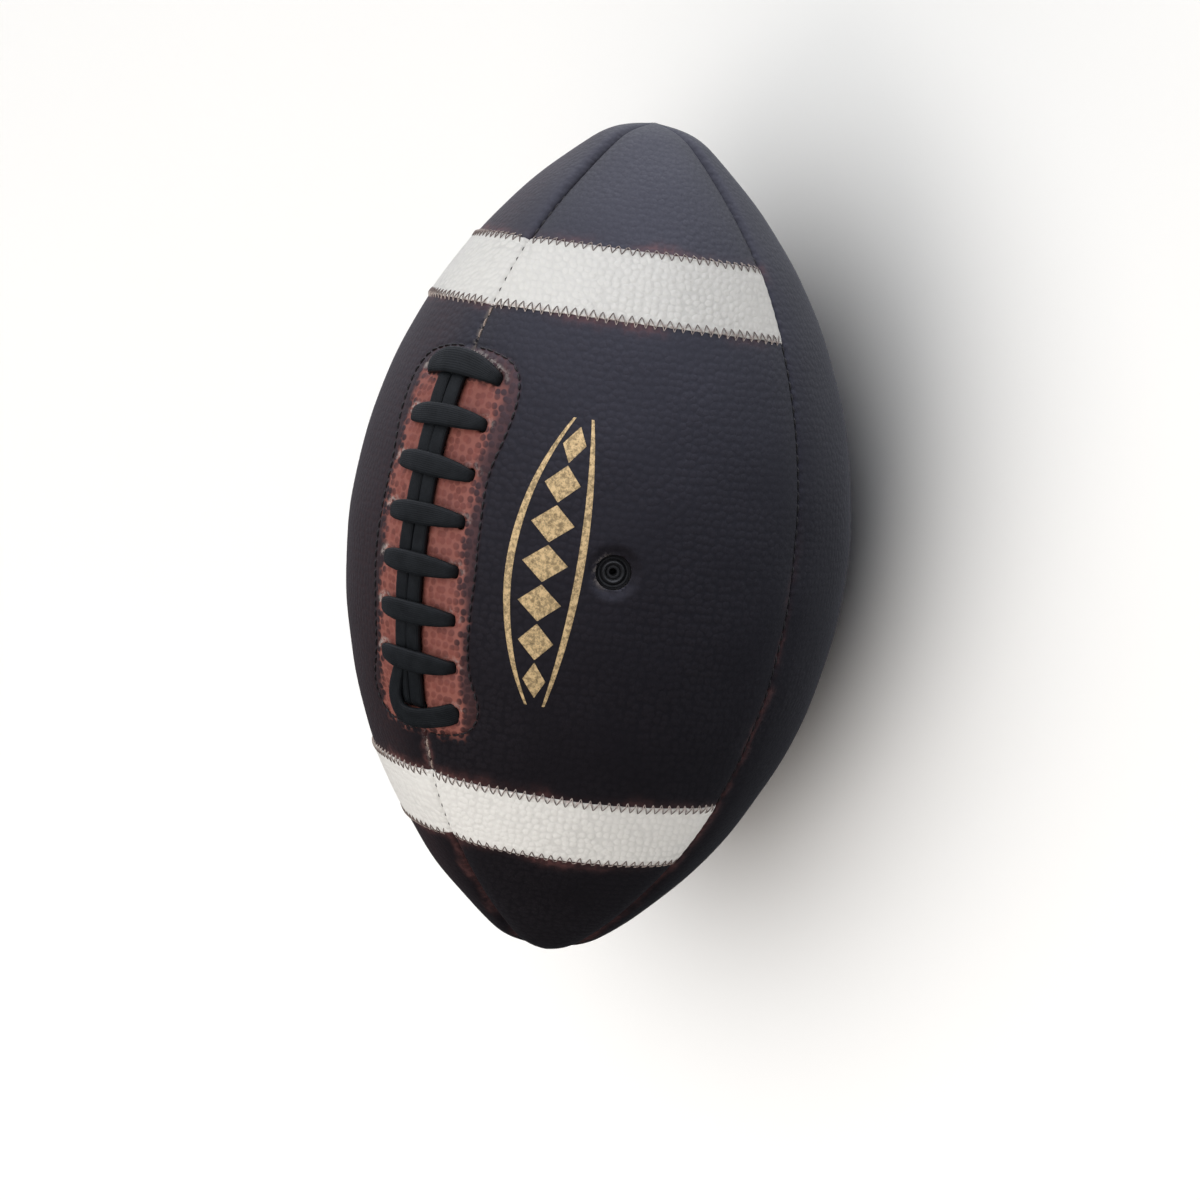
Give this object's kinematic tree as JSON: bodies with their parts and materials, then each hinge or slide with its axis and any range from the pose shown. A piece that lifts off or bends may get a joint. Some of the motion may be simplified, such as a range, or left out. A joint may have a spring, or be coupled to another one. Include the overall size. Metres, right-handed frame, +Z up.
{
  "type": "american football",
  "caption": "Full-size leather American football: lined sewn panels over an air bladder, black lace, white half-round stripes with zig-zag stitching, and a needle valve.",
  "frame": {"origin": "on the surface that the ball lies on, under the middle of the ball", "axes": "+X along the ball to its front point, +Z up through the laces, the valve on the -Y side"},
  "size_m": [0.2848, 0.17, 0.1752],
  "materials": {
    "cover_leather": "satin",
    "lining_cloth": "matte",
    "facing_leather": "matte",
    "bladder_rubber": "matte",
    "valve_rubber": "satin",
    "lace_leather": "matte",
    "tongue_leather": "matte",
    "stripe_leather": "satin",
    "stripe_thread": "matte",
    "facing_thread": "matte",
    "seam_thread": "matte"
  },
  "bodies": {
    "root": {"back_lining_left": "lining_cloth", "back_lining_right": "lining_cloth", "back_panel_left": "cover_leather", "back_panel_right": "cover_leather", "bladder": "bladder_rubber", "facing_thread_left": "facing_thread", "facing_thread_right": "facing_thread", "lace": "lace_leather", "lace_facing_left": "facing_leather", "lace_facing_right": "facing_leather", "lace_lining_left": "lining_cloth", "lace_lining_right": "lining_cloth", "lace_panel_left": "cover_leather", "lace_panel_right": "cover_leather", "lace_tongue": "tongue_leather", "seam_thread_back": "seam_thread", "seam_thread_lace": "seam_thread", "seam_thread_left": "seam_thread", "seam_thread_right": "seam_thread", "stripe_front_left": "stripe_leather", "stripe_front_right": "stripe_leather", "stripe_rear_left": "stripe_leather", "stripe_rear_right": "stripe_leather", "stripe_thread_front_left": "stripe_thread", "stripe_thread_front_right": "stripe_thread", "stripe_thread_rear_left": "stripe_thread", "stripe_thread_rear_right": "stripe_thread", "valve_body": "valve_rubber", "valve_core": "valve_rubber"}
  },
  "joints": []
}
